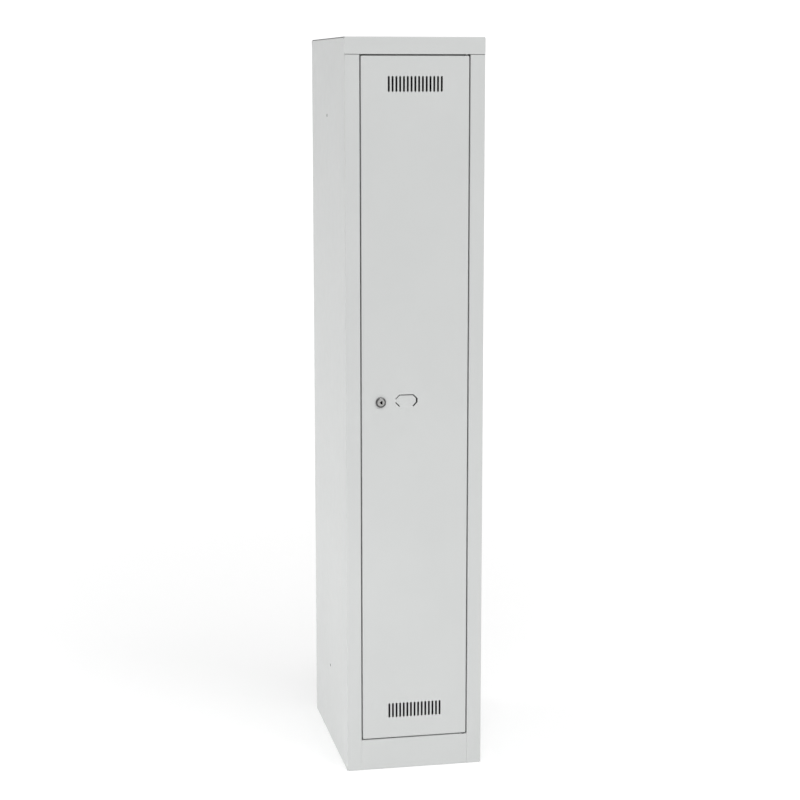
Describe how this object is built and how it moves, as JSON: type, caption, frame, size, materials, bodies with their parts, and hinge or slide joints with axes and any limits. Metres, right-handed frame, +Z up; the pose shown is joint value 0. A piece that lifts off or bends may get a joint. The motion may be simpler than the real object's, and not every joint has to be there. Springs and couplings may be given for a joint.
{
  "type": "metal locker",
  "caption": "Tall narrow sheet-steel clothes locker with one flush vented door on hidden pivots, a cam lock, a pressed label recess, a hat shelf and a coat rail.",
  "frame": {"origin": "middle of the carcass footprint, on the floor", "axes": "+Z up, front and door towards -Y, +X to the right as seen from the front"},
  "size_m": [0.34, 0.5069, 1.8],
  "materials": {
    "carcass_paint": "light grey powder coat, fine texture",
    "door_paint": "light grey powder coat, fine texture",
    "zinc_steel": "zinc plated",
    "rail_chrome": "plated tube",
    "lock_chrome": "plated die casting",
    "bezel_nickel": "dark nickel plated die casting",
    "nylon": "moulded",
    "rubber": "moulded"
  },
  "bodies": {
    "carcass": {"left_side_panel": "carcass_paint", "right_side_panel": "carcass_paint", "left_door_stop": "carcass_paint", "right_door_stop": "carcass_paint", "back_panel": "carcass_paint", "top_cap": "carcass_paint", "head_rail": "carcass_paint", "plinth_panel": "carcass_paint", "floor_panel": "carcass_paint", "left_corner_plate": "carcass_paint", "right_corner_plate": "carcass_paint", "hat_shelf": "carcass_paint", "left_shelf_cleat": "carcass_paint", "right_shelf_cleat": "carcass_paint", "shelf_rivets": "zinc_steel", "rail_rivets": "zinc_steel", "top_pivot_pin": "zinc_steel", "bottom_pivot_pin": "zinc_steel", "left_rail_hanger": "zinc_steel", "right_rail_hanger": "zinc_steel", "coat_rail": "rail_chrome", "door_buffers": "rubber"},
    "door": {"door_panel": "door_paint", "door_stiffener": "door_paint", "top_bush": "nylon", "bottom_bush": "nylon", "lock_housing": "bezel_nickel", "lock_washer": "zinc_steel", "lock_nut": "zinc_steel"},
    "lock": {"lock_plug": "lock_chrome", "lock_cam": "zinc_steel", "cam_washer": "zinc_steel", "cam_screw": "zinc_steel"}
  },
  "joints": [
    {"name": "door_swing", "type": "hinge", "parent": "carcass", "child": "door", "pos_m": [0.125, -0.244, 0.08], "axis": [0, 0, 1], "range_deg": [0, 110]},
    {"name": "lock_turn", "type": "hinge", "parent": "door", "child": "lock", "pos_m": [-0.0847, -0.25, 0.9295], "axis": [0, 1, 0], "range_deg": [0, 90]}
  ]
}
